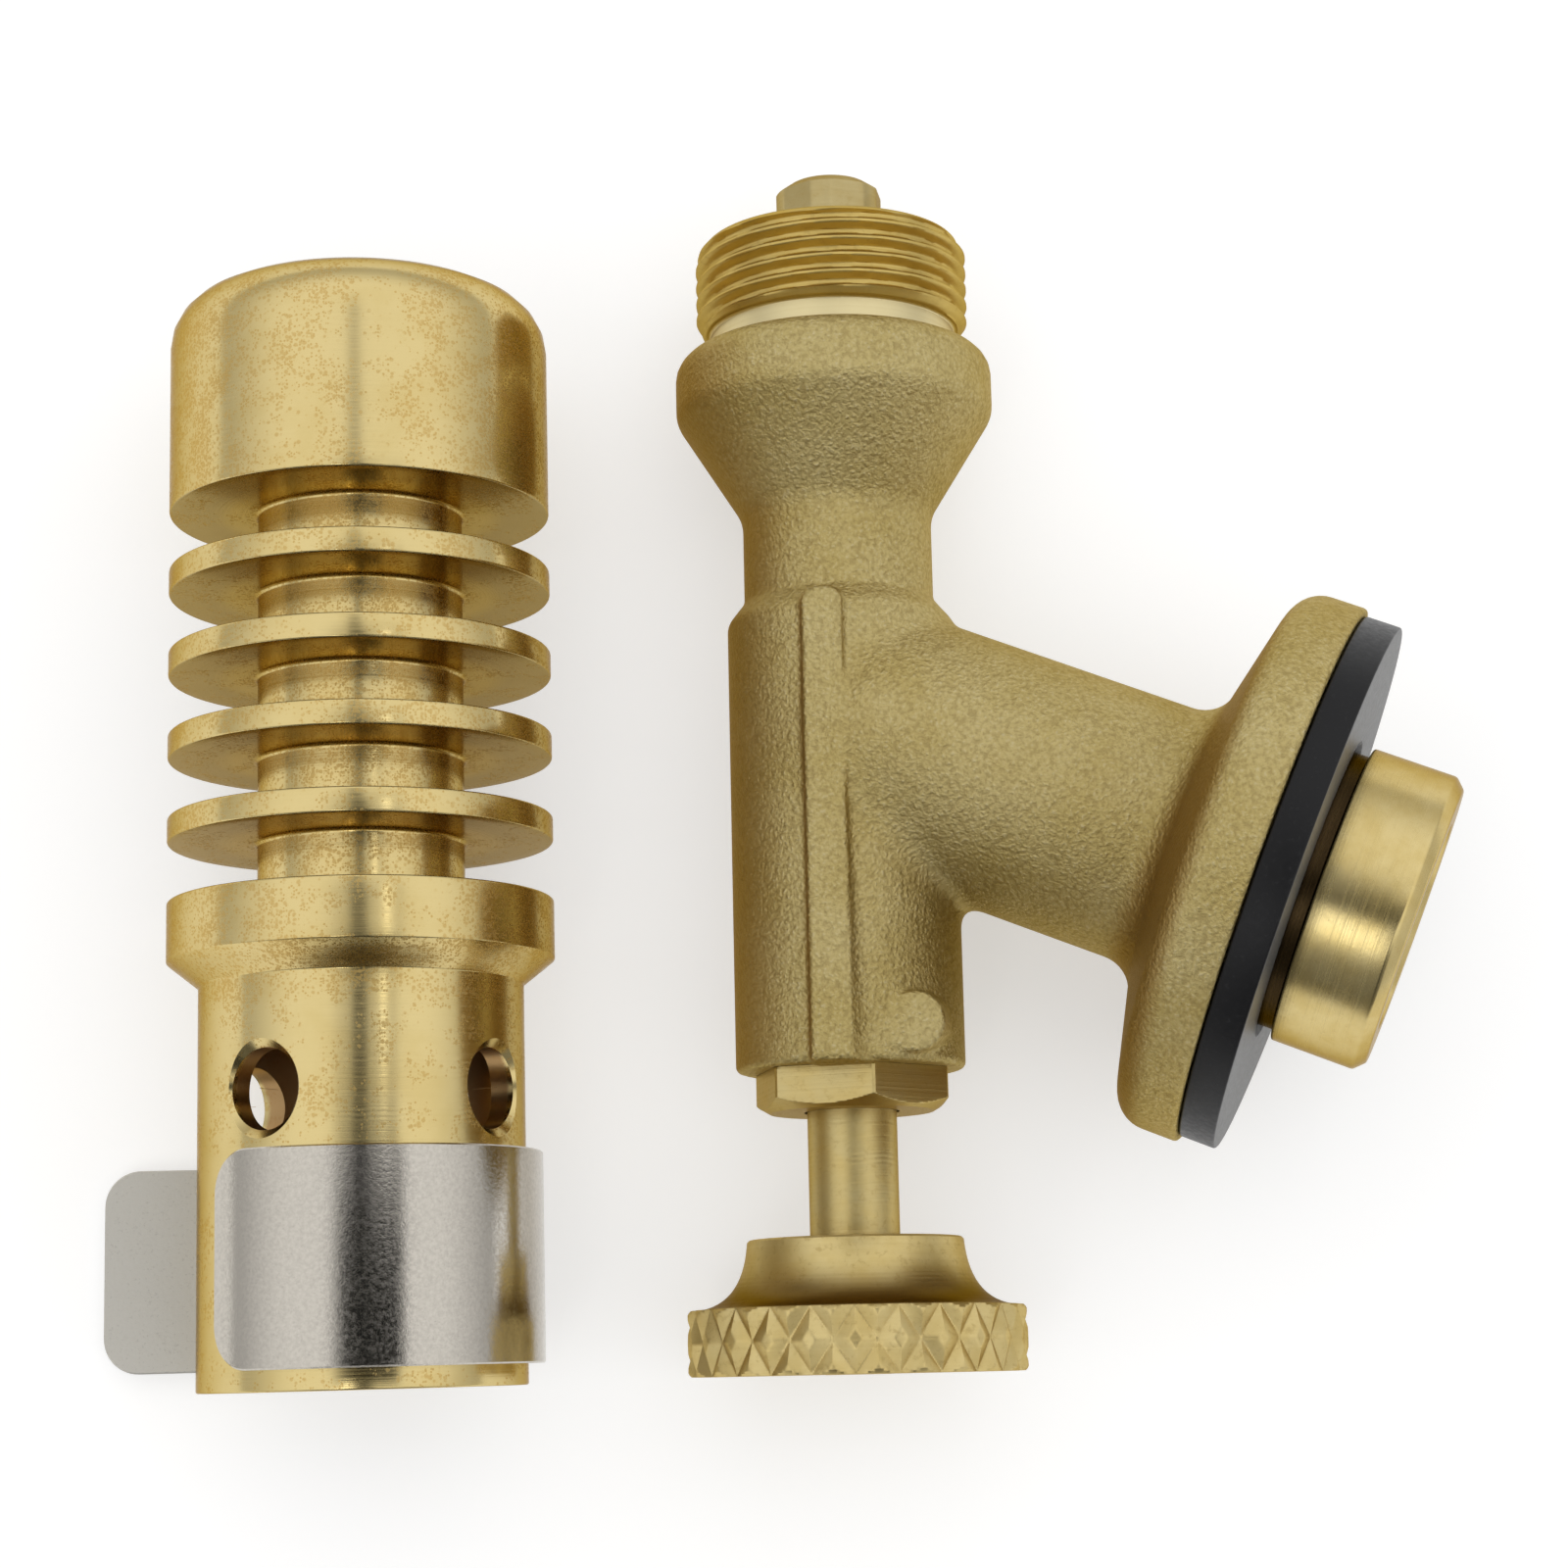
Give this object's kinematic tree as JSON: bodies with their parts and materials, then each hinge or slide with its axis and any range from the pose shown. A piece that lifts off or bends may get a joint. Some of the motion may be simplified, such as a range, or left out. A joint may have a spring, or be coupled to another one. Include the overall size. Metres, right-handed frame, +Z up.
{
  "type": "brass gas blow lamp burner and valve",
  "caption": "Gas blow lamp taken apart: finned brass burner with a sliding air clip, beside a cast angle valve with knurled knob, jet and screw-on inlet.",
  "frame": {"origin": "centre of the bottom of the box round both halves, on the surface they lie on", "axes": "+Y along the burner from its tube's open end to its mouth, +X towards the valve's inlet arm, +Z up"},
  "size_m": [0.0766, 0.0696, 0.0312],
  "materials": {
    "turned_brass": "turned, bright",
    "cast_brass": "as cast, bead-blasted",
    "spring_steel": "satin",
    "black_rubber": "matt",
    "copper": "soft copper",
    "white_packing": "matt",
    "sintered_bronze": "porous"
  },
  "bodies": {
    "valve": {"valve_body": "cast_brass", "jet_nipple": "turned_brass", "jet_washer": "copper", "jet_filter": "sintered_bronze", "packing_washer": "turned_brass", "stem_packing": "white_packing", "bonnet_nut": "turned_brass", "flange_washer": "black_rubber", "inlet_o_ring": "black_rubber", "inlet_pin": "turned_brass", "inlet_filter": "spring_steel"},
    "spindle_seal": {"spindle_o_ring": "black_rubber"},
    "spindle": {"spindle": "turned_brass", "seat_pad": "black_rubber", "knob": "turned_brass"},
    "burner": {"burner_tube": "turned_brass", "flame_holder": "turned_brass"},
    "air_clip": {"air_clip": "spring_steel"}
  },
  "joints": [
    {"name": "spindle_feed", "type": "slide", "parent": "valve", "child": "spindle_seal", "axis": [-0.0065, -1, 0.0037], "range_m": [0, 0.00187]},
    {"name": "knob_turn", "type": "hinge", "parent": "spindle_seal", "child": "spindle", "pos_m": [0.00386, -0.03475, 0.00949], "axis": [-0.0065, -1, 0.0037], "range_deg": [0, 900]},
    {"name": "burner_lift", "type": "slide", "parent": "valve", "child": "burner", "axis": [0, 0, 1], "range_m": [0, 0.045]},
    {"name": "air_clip_slide", "type": "slide", "parent": "burner", "child": "air_clip", "axis": [0, 1, 0], "range_m": [0, 0.009]}
  ],
  "couplings": [
    {"joint": "knob_turn", "follows": "spindle_feed", "rad_per_m": 8377.5}
  ]
}
